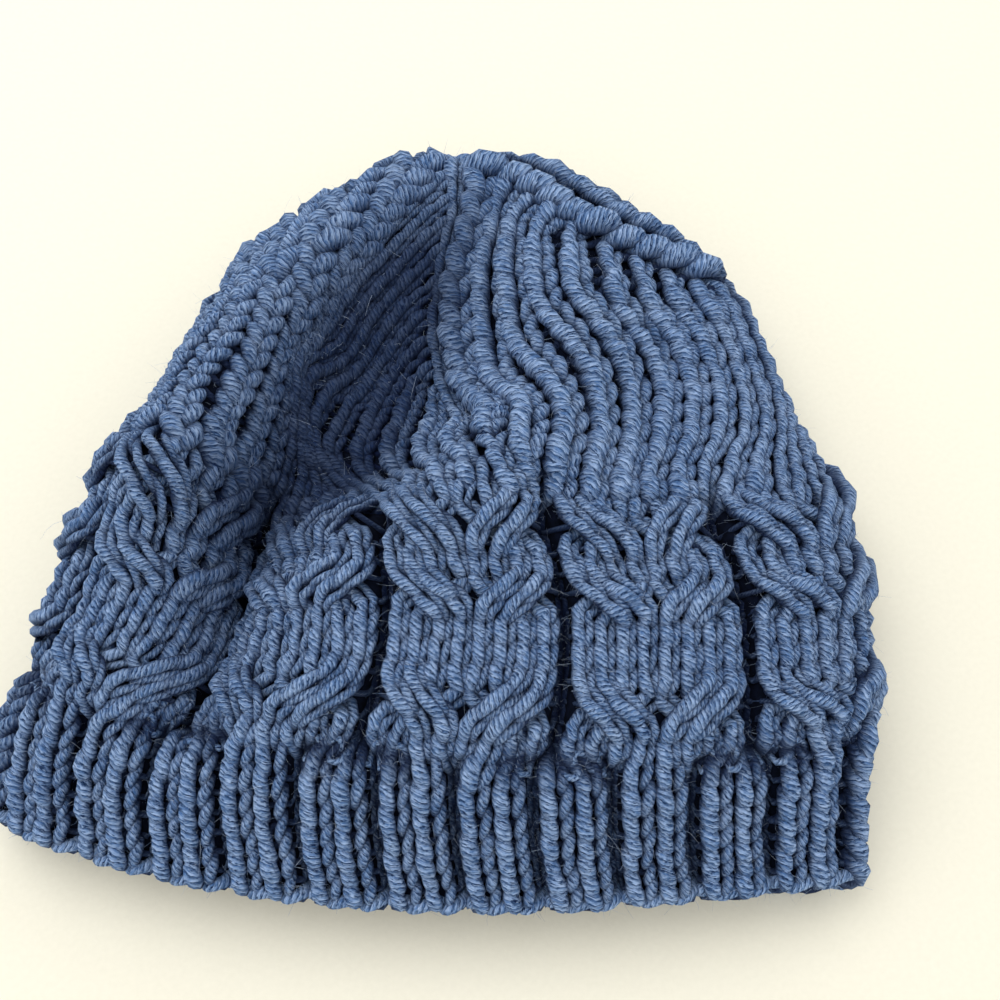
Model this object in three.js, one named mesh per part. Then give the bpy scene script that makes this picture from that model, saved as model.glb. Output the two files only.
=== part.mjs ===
// A hand-knitted beanie lying on its side: a ribbed brim, a band of V cables and a crown of
// eight wedges drawn together at the top. The opening faces -Y, the closed top lies at +Y,
// and the under layer rests flat on z = 0. It is knitted in one go, so the three solids are
// the three zones of one fabric wall, with a hair's gap where the stitch pattern changes.
//
// The fabric is one surface. Its rows of stitches are counted up from the cast-on edge, 0,
// to the gathered top, 44, and each row is a closed loop round the hat.
import * as THREE from "three";

// Driving dimensions in millimetres, and counts of rows
const WALL = 4.0;               // thickness of the knitted fabric
const CAST_ON_ROW = 0;
const RIB_TOP_ROW = 7;          // the ribbing ends and the cables begin
const BAND_TOP_ROW = 19;        // the cables end and the plain crown begins
const GATHER_ROW = 44;          // the last round, drawn closed with the yarn tail
const LINING_TOP_ROW = 42;      // the inner face closes a little before the outer one
const ZONE_GAP = 0.6;           // gap left between two zones
const TOP_FACETS = 42;          // facets across the upper layer, and the under layer
const UNDER_FACETS = 30;
const COLUMNS = TOP_FACETS + UNDER_FACETS;
const RIB_STEPS = 4;
const BAND_STEPS = 7;
const CROWN_STEPS = 16;
const LOOP_STEPS = 120;         // steps used to measure along half a section
const FLAT_FLOOR = 0;           // the surface that the hat lies on
const UNDER_POWER = 0.3;        // how squarely the under layer turns up at its sides
const CENTRE_X = 4.185;         // moves the tables' origin to the middle of the hat
const CENTRE_Y = -8.233;

// One line per section, each a closed loop of one row of stitches. left and right are the
// sides where the fabric turns under, top and under the middles of the two layers. bow and
// side are powers: how sharply the row curves in plan, and how square its shoulders are.
const SECTION_COLUMNS = [
  "row", "left_x", "left_y", "left_z", "top_x", "top_y", "top_z", "right_x", "right_y",
  "right_z", "under_y", "under_z", "bow", "side",
];
const SECTIONS = [
  [0, -81.5, -55, 8, -18, -70.4, 14, 70.5, -66.5, 8, -64, 1.4, 2.1, 0.55],
  [4, -80.5, -42, 11, -8, -60, 22, 71.3, -52, 11, -52, 1.4, 1.4, 0.55],
  [7, -77, -31, 14, -3, -49.5, 29, 72.8, -40, 14, -41, 1.4, 1.0, 0.55],
  [10, -73.6, -22, 16, -2, -39, 33, 72.3, -31, 15, -31, 1.4, 0.9, 0.6],
  [13, -70.5, -10, 17, -2, -27, 35, 73, -19, 16, -19, 1.4, 0.8, 0.6],
  [16, -66.5, 3, 18, -3, -16.5, 36, 73, -6, 17, -6, 1.4, 0.8, 0.65],
  [19, -62, 18, 18, -3, -6, 37, 70.5, 9, 17, 8, 1.4, 0.8, 0.7],
  [24, -56, 39, 19, 4, 1, 38, 64.5, 28, 17, 30, 1.4, 0.9, 0.75],
  [30, -44, 59.5, 20, 5, 17, 19, 54.5, 50.5, 18, 54, 2.4, 1.4, 0.85],
  [35, -30, 73, 20, 4, 39, 27, 40, 68, 19, 71, 4.5, 1.4, 0.9],
  [40, -13, 83, 21, 4, 62, 28, 21.5, 80, 20, 83, 11, 1.2, 0.9],
  [44, -4, 86, 22, 2, 80, 25, 7, 85, 22, 87, 18, 1.0, 0.9],
];

// The dents and rolls of the slack upper layer. Each follows a smooth curve through the
// three points a, b and c in plan, with its height there and one width.
const FOLD_COLUMNS = ["name", "ax", "ay", "az", "bx", "by", "bz", "cx", "cy", "cz", "width"];
const FOLDS = [
  ["left_roll", -55, 3, 15, -42, 38, 15, -14, 66, 6, 15],
  ["hollow", -33, -2, -9, -27, 34, -13, -6, 66, -7, 15],
  ["crease", -41, 2, -8, -40, -20, -13, -45, -40, -7, 10],
  ["middle_ridge", 22, 40, 7, 12, 8, 12, -18, -9, 3, 14],
];
const FOLD_STEPS = 32;
const FOLD_START_ROWS = 8;      // folds fade in over these rows, and leave the brim smooth

const named = (columns, rows) =>
  rows.map((row) => Object.fromEntries(columns.map((column, i) => [column, row[i]])));
const sections = named(SECTION_COLUMNS, SECTIONS);
const folds = named(FOLD_COLUMNS, FOLDS);

// The slope of one column at section i, the weighted mean of its two neighbours' slopes
function slopeAt(column, i) {
  const rise = (k) => (sections[k + 1][column] - sections[k][column])
    / (sections[k + 1].row - sections[k].row);
  if (i === 0) return rise(0);
  if (i === sections.length - 1) return rise(i - 1);
  const before = sections[i].row - sections[i - 1].row;
  const after = sections[i + 1].row - sections[i].row;
  return (rise(i - 1) * after + rise(i) * before) / (before + after);
}

// The section at any row: a smooth cubic through the table
function sectionAt(row) {
  let i = sections.findIndex((section) => section.row > row) - 1;
  if (i < 0) i = sections.length - 2;
  const step = sections[i + 1].row - sections[i].row;
  const t = (row - sections[i].row) / step;
  const startShare = 2 * t ** 3 - 3 * t ** 2 + 1;
  const startSlope = t ** 3 - 2 * t ** 2 + t;
  const endSlope = t ** 3 - t ** 2;
  const section = {};
  for (const column of SECTION_COLUMNS) {
    section[column] = startShare * sections[i][column]
      + (1 - startShare) * sections[i + 1][column]
      + step * (startSlope * slopeAt(column, i) + endSlope * slopeAt(column, i + 1));
  }
  return section;
}

// A fold's path, as points in plan that carry the fold's height
const foldPaths = folds.map((fold) => {
  const path = [];
  for (let k = 0; k <= FOLD_STEPS; k += 1) {
    const t = k / FOLD_STEPS;
    const a = 2 * (t - 0.5) * (t - 1);
    const b = -4 * t * (t - 1);
    const c = 2 * t * (t - 0.5);
    path.push({
      x: a * fold.ax + b * fold.bx + c * fold.cx,
      y: a * fold.ay + b * fold.by + c * fold.cy,
      height: a * fold.az + b * fold.bz + c * fold.cz,
    });
  }
  return { path, width: fold.width };
});

// How far all folds together lift or sink the upper layer at a place in plan
function foldLift(x, y) {
  let lift = 0;
  for (const { path, width } of foldPaths) {
    let nearest = Infinity;
    let height = 0;
    for (const point of path) {
      const distance = (x - point.x) ** 2 + (y - point.y) ** 2;
      if (distance < nearest) {
        nearest = distance;
        height = point.height;
      }
    }
    lift += height * Math.exp(-nearest / width ** 2);
  }
  return lift;
}

// Half of a section's loop from the left side (turn 0) to the right (turn 1), over the top
// or under
function halfPoint(section, turn, isTop) {
  const across = -Math.cos(Math.PI * turn);
  const rise = Math.max(Math.sin(Math.PI * turn), 0);
  const between = (left, right) => (left + right) / 2 + ((right - left) / 2) * across;
  const middle = (left, right) => (left + right) / 2;
  const { left_x: lx, right_x: rx, left_y: ly, right_y: ry, left_z: lz, right_z: rz } = section;
  const x = between(lx, rx) + (section.top_x - middle(lx, rx)) * rise;
  if (!isTop) {
    return new THREE.Vector3(
      x,
      between(ly, ry) + (section.under_y - middle(ly, ry)) * rise,
      between(lz, rz) + (section.under_z - middle(lz, rz)) * rise ** UNDER_POWER,
    );
  }
  const y = between(ly, ry) + (section.top_y - middle(ly, ry)) * rise ** section.bow;
  const z = between(lz, rz) + (section.top_z - middle(lz, rz)) * rise ** section.side;
  const shoulder = Math.min(1.6 * rise, 1) ** 1.5;
  const start = Math.min(section.row / FOLD_START_ROWS, 1);
  return new THREE.Vector3(x, y, z + foldLift(x, y) * shoulder * start);
}

// Points spaced evenly by length along half a loop, from its first point up to, but not
// including, its last, where the other half begins
function evenHalf(section, isTop, facets) {
  const points = [];
  const lengths = [0];
  for (let k = 0; k <= LOOP_STEPS; k += 1) {
    const turn = isTop ? k / LOOP_STEPS : 1 - k / LOOP_STEPS;
    points.push(halfPoint(section, turn, isTop));
    if (k > 0) lengths.push(lengths[k - 1] + points[k].distanceTo(points[k - 1]));
  }
  const even = [];
  for (let facet = 0, k = 1; facet < facets; facet += 1) {
    const wanted = (facet / facets) * lengths[LOOP_STEPS];
    while (lengths[k] < wanted) k += 1;
    const part = (wanted - lengths[k - 1]) / (lengths[k] - lengths[k - 1]);
    even.push(points[k - 1].clone().lerp(points[k], part));
  }
  return even;
}

// One row of stitches as COLUMNS points around the hat: over the top, then back under
function loopOfRow(row) {
  const section = sectionAt(row);
  return [
    ...evenHalf(section, true, TOP_FACETS), ...evenHalf(section, false, UNDER_FACETS),
  ];
}

// The outer (side 1) or inner (side -1) face of the wall at a row: the loop moved out or in
// by half the wall along the fabric's own normal, and pressed flat where it lies. shift
// then slides it up (or down, if negative) along the fabric, square to the row.
const NORMAL_STEP_ROWS = 1.2;
function faceLoop({ row, shift }, side) {
  const loop = loopOfRow(row);
  const before = loopOfRow(Math.max(row - NORMAL_STEP_ROWS, CAST_ON_ROW));
  const after = loopOfRow(Math.min(row + NORMAL_STEP_ROWS, GATHER_ROW));
  return loop.map((point, column) => {
    const next = loop[(column + 1) % COLUMNS];
    const last = loop[(column + COLUMNS - 1) % COLUMNS];
    const around = next.clone().sub(last).normalize();
    const normal = around.clone().cross(after[column].clone().sub(before[column])).normalize();
    const upward = normal.clone().cross(around);
    const moved = point.clone().addScaledVector(normal, (side * WALL) / 2);
    moved.addScaledVector(upward, shift);
    moved.z = Math.max(moved.z, FLAT_FLOOR);
    return moved;
  });
}

// The loops of one zone, evenly spaced from one row to another. An end that meets the next
// zone is drawn back from it by half the gap.
function zoneLoops({ from, to, steps, meetsBelow, meetsAbove }) {
  return Array.from({ length: steps + 1 }, (_, k) => {
    const row = from + ((to - from) * k) / steps;
    if (k === 0 && meetsBelow) return { row, shift: ZONE_GAP / 2 };
    if (k === steps && meetsAbove) return { row, shift: -ZONE_GAP / 2 };
    return { row, shift: 0 };
  });
}

// A closed wall between an outer and an inner stack of loops. An open zone is a tube with
// two rims; a closed zone ends in a tip on both faces.
function wallGeometry(outerLoops, innerLoops, isClosed) {
  const outer = outerLoops.map((loop) => faceLoop(loop, 1));
  const inner = innerLoops.map((loop) => faceLoop(loop, -1));
  const loops = [...inner.reverse(), ...outer];
  const vertices = loops.flat();
  const faces = [];
  const bridge = (low, high) => {
    for (let column = 0; column < COLUMNS; column += 1) {
      const next = (column + 1) % COLUMNS;
      const corner = (loop, at) => loop * COLUMNS + at;
      faces.push(corner(low, column), corner(low, next), corner(high, next));
      faces.push(corner(low, column), corner(high, next), corner(high, column));
    }
  };
  for (let k = 0; k + 1 < loops.length; k += 1) bridge(k, k + 1);
  if (!isClosed) bridge(loops.length - 1, 0);
  if (isClosed) {
    const tip = (loop, first, isOuter) => {
      const centre = loop.reduce((sum, point) => sum.add(point), new THREE.Vector3());
      vertices.push(centre.divideScalar(COLUMNS));
      const apex = vertices.length - 1;
      for (let column = 0; column < COLUMNS; column += 1) {
        const next = (column + 1) % COLUMNS;
        if (isOuter) faces.push(first + column, first + next, apex);
        else faces.push(first + next, first + column, apex);
      }
    };
    tip(loops[loops.length - 1], (loops.length - 1) * COLUMNS, true);
    tip(loops[0], 0, false);
  }
  const geometry = new THREE.BufferGeometry();
  const positions = vertices.flatMap((point) => [point.x + CENTRE_X, point.y + CENTRE_Y, point.z]);
  geometry.setAttribute("position", new THREE.Float32BufferAttribute(positions, 3));
  geometry.setIndex(faces);
  geometry.computeVertexNormals();
  return geometry;
}

// The yarn: a soft matt worsted in denim blue
const yarn = (color) => new THREE.MeshStandardMaterial({ color, roughness: 0.95, metalness: 0 });

function knittedZone(name, geometry, color) {
  const mesh = new THREE.Mesh(geometry, yarn(color));
  mesh.name = name;
  return mesh;
}

const ribLoops = zoneLoops({
  from: CAST_ON_ROW, to: RIB_TOP_ROW, steps: RIB_STEPS, meetsBelow: false, meetsAbove: true,
});
const bandLoops = zoneLoops({
  from: RIB_TOP_ROW, to: BAND_TOP_ROW, steps: BAND_STEPS, meetsBelow: true, meetsAbove: true,
});
const crownLoops = (topRow) => zoneLoops({
  from: BAND_TOP_ROW, to: topRow, steps: CROWN_STEPS, meetsBelow: true, meetsAbove: false,
});

const beanie = new THREE.Group();
beanie.add(knittedZone("rib_brim", wallGeometry(ribLoops, ribLoops, false), 0x3f5a8c));
beanie.add(knittedZone("cable_band", wallGeometry(bandLoops, bandLoops, false), 0x456093));
beanie.add(knittedZone(
  "crown",
  wallGeometry(crownLoops(GATHER_ROW), crownLoops(LINING_TOP_ROW), true),
  0x4b6799,
));

export default beanie;
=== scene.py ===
# %% [markdown]
# # A hand-knitted beanie, stitch by stitch
#
# This lesson knits a hat in Blender. We don't fake the stitches with a bump texture: every
# round of knitting is a real tube of yarn that runs through its loops, as it does on the
# needles. The steps are: describe the cloth as one smooth surface, work out where each
# stitch lies on it, bend a yarn path through the stitches, and sweep tubes along the paths.

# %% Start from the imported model
import math

import bpy
import numpy as np
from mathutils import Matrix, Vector


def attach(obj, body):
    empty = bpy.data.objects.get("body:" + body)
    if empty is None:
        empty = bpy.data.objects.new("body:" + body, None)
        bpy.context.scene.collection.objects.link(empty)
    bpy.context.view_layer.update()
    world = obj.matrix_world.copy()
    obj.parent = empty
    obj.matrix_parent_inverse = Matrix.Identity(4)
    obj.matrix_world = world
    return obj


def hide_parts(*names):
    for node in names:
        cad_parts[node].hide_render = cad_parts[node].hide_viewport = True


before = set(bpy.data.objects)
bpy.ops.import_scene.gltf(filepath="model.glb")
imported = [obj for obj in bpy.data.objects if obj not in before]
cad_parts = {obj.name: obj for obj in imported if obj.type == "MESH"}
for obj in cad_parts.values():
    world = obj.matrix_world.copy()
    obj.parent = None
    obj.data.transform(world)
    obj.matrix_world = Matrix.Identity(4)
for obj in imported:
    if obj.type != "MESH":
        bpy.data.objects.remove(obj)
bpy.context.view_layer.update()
rng = np.random.default_rng(7)

# %% [markdown]
# ## The cloth as a surface
#
# A knitter finds a place on a hat with two numbers: the row, counted up from the edge, and
# the stitch, counted round. We do the same. Each line of this table is one row, as a closed
# loop: where its left, top, right and under points lie (in millimetres), and which share of
# the way round the hat sits at the left, the middle and the right. `bow` and `side` are
# powers that shape the curve between those points.

# %% The rows of the hat
MM = 0.001
TABLE_TOP = 44                             # the table's last line
SECTION_COLUMNS = ("row left_x left_y left_z top_x top_y top_z right_x right_y right_z "
                   "under_y under_z left_s mid_s right_s bow side").split()
SECTIONS = np.array([
    [0, -81.5, -55, 8, -18, -70.4, 14, 70.5, -66.5, 8, -64, 1.4, 0.155, 0.438, 0.735, 2.1, 0.55],
    [4, -80.5, -42, 11, -8, -60, 22, 71.3, -52, 11, -52, 1.4, 0.155, 0.452, 0.747, 1.4, 0.55],
    [7, -77, -31, 14, -3, -49.5, 29, 72.8, -40, 14, -41, 1.4, 0.145, 0.462, 0.758, 1.0, 0.55],
    [10, -73.6, -22, 16, -2, -39, 33, 72.3, -31, 15, -31, 1.4, 0.125, 0.455, 0.762, 0.9, 0.6],
    [13, -70.5, -10, 17, -2, -27, 35, 73, -19, 16, -19, 1.4, 0.108, 0.452, 0.765, 0.8, 0.6],
    [16, -66.5, 3, 18, -3, -16.5, 36, 73, -6, 17, -6, 1.4, 0.092, 0.452, 0.77, 0.8, 0.65],
    [19, -62, 18, 18, -3, -4.5, 33, 70.5, 9, 17, 8, 1.4, 0.085, 0.452, 0.772, 0.8, 0.7],
    [24, -56, 39, 19, 4, 7, 29, 65.3, 28.3, 17, 30, 1.4, 0.17, 0.48, 0.712, 0.9, 0.75],
    [30, -44, 59.5, 20, 5, 23, 22, 56.5, 52, 18, 54, 2.4, 0.27, 0.523, 0.672, 1.4, 0.85],
    [35, -30, 73, 20, 4, 42, 26, 41, 69, 19, 71, 4.5, 0.275, 0.54, 0.69, 1.4, 0.9],
    [40, -13, 83, 21, 4, 62, 28, 22.2, 80.8, 20, 83, 11, 0.275, 0.548, 0.73, 1.2, 0.9],
    [44, -4, 86, 22, 2, 80, 25, 7, 85, 22, 87, 18, 0.28, 0.5375, 0.74, 1.0, 0.9],
], float)
CENTRE = np.array([4.185, -8.233, 0.0])    # the tables' origin, seen from the frame's
print(len(SECTIONS), "lines in the table, from row 0 to row", TABLE_TOP)

# %% [markdown]
# Rows between two lines of the table are read off a smooth cubic curve through its lines,
# so the hat's outline has no corners. Straight lines from one to the next would show as
# flat bands.

# %% Read the table at any row
def section_at(rows):
    """The table's columns at any rows, by a smooth cubic through its lines."""
    at, values = SECTIONS[:, 0], SECTIONS[:, 1:]
    gap = np.diff(at)
    rise = np.diff(values, axis=0) / gap[:, None]
    slope = np.zeros_like(values)
    slope[0], slope[-1] = rise[0], rise[-1]
    slope[1:-1] = ((rise[:-1] * gap[1:, None] + rise[1:] * gap[:-1, None])
                   / (gap[:-1] + gap[1:])[:, None])
    rows = np.clip(rows, -2, TABLE_TOP)
    i = np.clip(np.searchsorted(at, rows, side="right") - 1, 0, len(at) - 2)
    t = ((rows - at[i]) / gap[i])[:, None]
    step = gap[i][:, None]
    mixed = ((2 * t**3 - 3 * t**2 + 1) * values[i] + (3 * t**2 - 2 * t**3) * values[i + 1]
             + step * ((t**3 - 2 * t**2 + t) * slope[i] + (t**3 - t**2) * slope[i + 1]))
    return {name: mixed[:, k:k + 1] for k, name in enumerate(SECTION_COLUMNS[1:])}


print("row 5 lies", section_at(np.array([5.0]))["left_y"][0, 0].round(1), "mm up, at its left")

# %% [markdown]
# The hat lies in folds, so a second table lifts or sinks the upper layer. Each fold is a
# soft ridge or hollow along a curve through three places, `a`, `b` and `c`, as seen from
# above, with its height at each of them and its half width, all in millimetres.

# %% The folds
FOLD_COLUMNS = "name ax ay az bx by bz cx cy cz width".split()
FOLDS = [
    ["left_roll", -55, 3, 15, -42, 38, 15, -14, 66, 6, 15],
    ["hollow", -34, -4, -8, -24, 28, -9, -6, 66, -6, 15],
    ["dip", -28, 2, -7, -14, 5, -8, -6, 12, -4, 12],
    ["crease", -41, 2, -8, -40, -20, -13, -45, -40, -7, 10],
    ["middle_ridge", 22, 40, 7, 12, 8, 12, -14, -10, 3, 13],
]
FOLD_STEPS = 33                            # points along each fold's curve


def fold_lift(x, y, folds):
    """How far all folds together lift or sink the upper layer at a place in plan."""
    lift = np.zeros_like(x)
    t = np.linspace(0, 1, FOLD_STEPS)
    weights = 2 * (t - 0.5) * (t - 1), -4 * t * (t - 1), 2 * t * (t - 0.5)
    for fold in folds:
        f = dict(zip(FOLD_COLUMNS, fold))
        path_x = sum(w * f[k] for w, k in zip(weights, ("ax", "bx", "cx")))
        path_y = sum(w * f[k] for w, k in zip(weights, ("ay", "by", "cy")))
        height = sum(w * f[k] for w, k in zip(weights, ("az", "bz", "cz")))
        away = (x[..., None] - path_x) ** 2 + (y[..., None] - path_y) ** 2
        nearest = away.argmin(-1)
        closest = np.take_along_axis(away, nearest[..., None], -1)[..., 0]
        lift += height[nearest] * np.exp(-closest / f["width"] ** 2)
    return lift


print("folds:", [fold[0] for fold in FOLDS])

# %% [markdown]
# Now each row can be drawn as two halves, one over the top and one underneath. Both run
# from side to side on a cosine, which gathers points where the cloth turns round. The
# folds lift only the top half, and less towards its sides.

# %% Half of each row's loop
UNDER_POWER = 0.3                          # how squarely the under layer turns up
FOLD_START_ROWS = 8                        # folds fade in over these rows
SHOULDER, SHOULDER_POWER = 1.6, 1.5        # how soon folds reach full height from the sides


def half_loops(rows, turn, top):
    """Half of each row's loop, from the left (turn 0) to the right (turn 1)."""
    s = section_at(rows)
    across = -np.cos(np.pi * turn)[None, :]
    rise = np.maximum(np.sin(np.pi * turn), 0)[None, :]
    between = {}
    for axis in "xyz":
        left, right = s["left_" + axis], s["right_" + axis]
        between[axis] = (left + right) / 2 + (right - left) / 2 * across
    middle_x = (s["left_x"] + s["right_x"]) / 2
    middle_y = (s["left_y"] + s["right_y"]) / 2
    middle_z = (s["left_z"] + s["right_z"]) / 2
    x = between["x"] + (s["top_x"] - middle_x) * rise
    if top:
        y = between["y"] + (s["top_y"] - middle_y) * rise ** s["bow"]
        z = between["z"] + (s["top_z"] - middle_z) * rise ** s["side"]
        shoulder = np.clip(SHOULDER * rise, 0, 1) ** SHOULDER_POWER
        start = np.clip(rows / FOLD_START_ROWS, 0, 1)[:, None]
        z = z + fold_lift(x, y, FOLDS) * shoulder * start
    else:
        y = between["y"] + (s["under_y"] - middle_y) * rise
        z = between["z"] + (s["under_z"] - middle_z) * rise ** UNDER_POWER
    return np.stack([x, y, z], -1)


highest = half_loops(np.arange(TABLE_TOP), np.linspace(0, 1, 9), True)[..., 2].max()
print("the cloth rises to", highest.round(1), "mm")

# %% [markdown]
# Next we lay a fine grid over the whole hat. `ROW_STEPS` and `ROUND_STEPS` say how fine. We
# keep the position of each grid point, so that any stitch can look up its place later by
# simple interpolation. `DROP_SHARE` shares the points out as a knitter would see them from
# above: steep parts get fewer, because the stitches there are stretched.

# %% A grid over the whole hat
ROW_STEPS = 6                              # grid lines per row of stitches
ROUND_STEPS = 960                          # grid lines round the hat
FIRST_GRID_ROW = -1.0
HALF_STEPS = 241                           # points along each half of a row's loop
DROP_SHARE = 0.6                           # how much a drop spreads the stitches apart


def spread_half(points, shares):
    """The points at these shares of the way along each half loop."""
    step = np.diff(points, axis=0) * (1, 1, DROP_SHARE)
    length = np.concatenate([[0], np.cumsum(np.linalg.norm(step, axis=1))])
    wanted = shares * length[-1]
    return np.stack([np.interp(wanted, length, points[:, k]) for k in range(3)], -1)


def lay_grid():
    """Positions in metres at every grid row and every share of the way round."""
    rows = np.arange(FIRST_GRID_ROW, TABLE_TOP + 1e-6, 1 / ROW_STEPS)
    shares = np.arange(ROUND_STEPS) / ROUND_STEPS
    turn = np.linspace(0, 1, HALF_STEPS)
    over, under = half_loops(rows, turn, True), half_loops(rows, turn[::-1], False)
    s = section_at(rows)
    grid = np.empty((len(rows), ROUND_STEPS, 3))
    for i in range(len(rows)):
        left, middle, right = (float(s[k][i, 0]) for k in ("left_s", "mid_s", "right_s"))
        top = (shares >= left) & (shares <= right)
        x = (shares[top] - left) / (right - left)
        half = (middle - left) / (right - left)
        x = x + (0.5 - half) / (half * (1 - half)) * x * (1 - x)
        grid[i, top] = spread_half(over[i], x)
        past = np.where(shares[~top] > right, shares[~top], shares[~top] + 1) - right
        grid[i, ~top] = spread_half(under[i], past / (1 - right + left))
    return rows, (grid + CENTRE) * MM


def smooth_round(values, times):
    """Evens out small kinks by averaging with the neighbours on the grid."""
    for _ in range(times):
        values = (np.roll(values, 1, 1) + 2 * values + np.roll(values, -1, 1)) / 4
        inner = (values[:-2] + 2 * values[1:-1] + values[2:]) / 4
        values = np.concatenate([values[:1], inner, values[-1:]])
    return values


table_rows, table_points = lay_grid()
table_points = smooth_round(table_points, 6)
print("table grid of", table_points.shape[:2], "points")

# %% [markdown]
# Up to the top of the cables, one line of the table is one row of stitches. On the crown
# the table only gives the shape. There we share the cloth out evenly, by its length from
# the cables to the tip, so that all stitches come out about equally tall.
#
# Handling has pulled the cloth a little out of true, though, and a stitch can slide
# sideways: the columns of the right panel lean under the rope, and stitches crowd out of
# the dent onto the left roll. The tables read: this far up the crown, this far round the
# cloth, in thousandths of the whole way round.

# %% How far stitches slide sideways
RIDGE_DRIFT = [0, 0.1, 0.25, 0.4, 0.5, 0.6, 0.75, 1], [0, -7, 7, 24, 31, 27, 18, 48]
ROPE_DRIFT = [0, 0.1, 0.25, 0.5, 0.6, 0.75, 0.9, 1], [0, -12, 6, 28, 25, 27, 52, 78]
DENT_DRIFT = [0, 0.08, 0.2, 0.35, 0.5, 0.7, 1], [0, -25, -50, -45, -10, 5, 0]
ROLL_FOOT = [0, 0.25, 0.5, 1], [0.12, 0.20, 0.27, 0.28]  # where the left roll starts
ROLL_FADE = [0, 0.1, 0.3, 0.5, 0.75, 1], [0.2, 0.3, 0.6, 1, 1, 0]
ROLL_TOP, ROLL_SPREAD = 0.425, 0.9         # where it ends, and how much it spreads
DENT_AT, DENT_WIDTH = 0.42, 0.075
CHAIN_DRIFT = -0.010, 0.5375, 0.03         # how far, where, and how wide
DRIFT_START = 0.12                         # drifts fade in over this share of the crown


def hump(share, middle, width):
    return np.exp(-((share - middle) / width) ** 2)


def wedge_drift(up, share):
    """How far round the cloth a stitch has slid, as a share of the whole way round."""
    ridge, rope, dent = (np.interp(up, *table) / 1000
                         for table in (RIDGE_DRIFT, ROPE_DRIFT, DENT_DRIFT))
    lean = np.interp(share, [0.52, 0.6, 0.6625, 0.76, 1], [0, ridge, rope, rope / 3, 0])
    foot = np.interp(up, *ROLL_FOOT)
    across = np.clip((share - foot) / (ROLL_TOP - foot), 0, 1)
    roll = ROLL_SPREAD * across * (1 - across) * (ROLL_TOP - foot)
    drift = (lean + roll * np.interp(up, *ROLL_FADE) + dent * hump(share, DENT_AT, DENT_WIDTH)
             + CHAIN_DRIFT[0] * hump(share, *CHAIN_DRIFT[1:]))
    return drift * np.clip(up / DRIFT_START, 0, 1)


print("drift half way up:", wedge_drift(0.5, np.array([0.3, 0.42, 0.6, 0.7])).round(3))

# %% [markdown]
# The pull also runs up and down: `CHAIN_PULL` lowers the rows on the middle ridge, and
# `PANEL_PULL` raises them to its right. With both, each point of the new grid is looked up
# on the old one, by its length along the cloth.

# %% Even rows on the crown
BAND_TOP, KNIT_TOP = 19, 40                # rows where the cables and the hat end
CHAIN_PULL, PANEL_PULL = 0.13, 0.06        # shares of the crown's height
CHAIN_AT, PANEL_AT, PULL_WIDTH = 0.527, 0.605, 0.035     # shares of the way round


def even_crown(table_rows, points):
    """Rows and points of a new grid whose crown rows are evenly spaced."""
    start = int(round((BAND_TOP - FIRST_GRID_ROW) * ROW_STEPS))
    crown = points[start:]
    length = np.zeros(crown.shape[:2])
    length[1:] = np.cumsum(np.linalg.norm(np.diff(crown, axis=0), axis=-1), axis=0)
    share = np.arange(ROUND_STEPS) / ROUND_STEPS
    rows = np.arange(BAND_TOP, KNIT_TOP + 1e-6, 1 / ROW_STEPS)
    up = (rows - BAND_TOP) / (KNIT_TOP - BAND_TOP)
    pull = (PANEL_PULL * hump(share, PANEL_AT, PULL_WIDTH)
            - CHAIN_PULL * hump(share, CHAIN_AT, PULL_WIDTH))
    wanted = up[:, None] + np.sin(np.pi * up)[:, None] * pull
    even = np.empty((len(rows), ROUND_STEPS, 3))
    for j in range(ROUND_STEPS):
        at = wanted[:, j] * length[-1, j]
        for axis in range(3):
            even[:, j, axis] = np.interp(at, length[:, j], crown[:, j, axis])
    slid = np.empty_like(even)
    for i in range(len(rows)):
        place = (share + wedge_drift(up[i], share)) * ROUND_STEPS
        low = np.floor(place).astype(int)
        part = (place - low)[:, None]
        slid[i] = (even[i, low % ROUND_STEPS] * (1 - part)
                   + even[i, (low + 1) % ROUND_STEPS] * part)
    return (np.concatenate([table_rows[:start], rows]),
            np.concatenate([points[:start], slid]))


grid_rows, grid_points = even_crown(table_rows, table_points)
grid_points = smooth_round(grid_points, 4)
print("grid of", grid_points.shape[:2], "points")

# %% [markdown]
# A stitch has to know more than its place: which way is out, so that it can stand proud,
# and how wide the cloth leaves it, so that the yarn can fill it. Both come from the steps
# between neighbouring points. The cross product of two steps along a surface points
# straight out of it.

# %% Directions and widths on the grid
STITCHES = 80                              # round the hat, at the brim


def unit(vectors):
    """The same directions, each with length 1."""
    return vectors / np.maximum(np.linalg.norm(vectors, axis=-1, keepdims=True), 1e-12)


round_step = (np.roll(grid_points, -1, 1) - np.roll(grid_points, 1, 1)) / 2
row_step = np.gradient(grid_points, axis=0)
grid_normals = unit(smooth_round(unit(np.cross(round_step, row_step)), 8))
across_step = np.linalg.norm(np.cross(unit(row_step), round_step), axis=-1)
grid_widths = across_step * ROUND_STEPS / STITCHES       # metres a stitch
print("stitches are", (grid_widths.mean() / MM).round(2), "mm wide on average")


def look_up(grid, row, share):
    """Reads the grid at any row and share, blending the four nearest points."""
    i = np.clip((row - FIRST_GRID_ROW) * ROW_STEPS, 0, len(grid_rows) - 1.001)
    j = (share % 1.0) * ROUND_STEPS
    i0, j0 = np.floor(i).astype(int), np.floor(j).astype(int)
    fi, fj = i - i0, j - j0
    if grid.ndim == 3:
        fi, fj = fi[..., None], fj[..., None]
    i1, j0, j1 = i0 + 1, j0 % ROUND_STEPS, (j0 + 1) % ROUND_STEPS
    return ((grid[i0, j0] * (1 - fj) + grid[i0, j1] * fj) * (1 - fi)
            + (grid[i1, j0] * (1 - fj) + grid[i1, j1] * fj) * fi)

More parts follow.
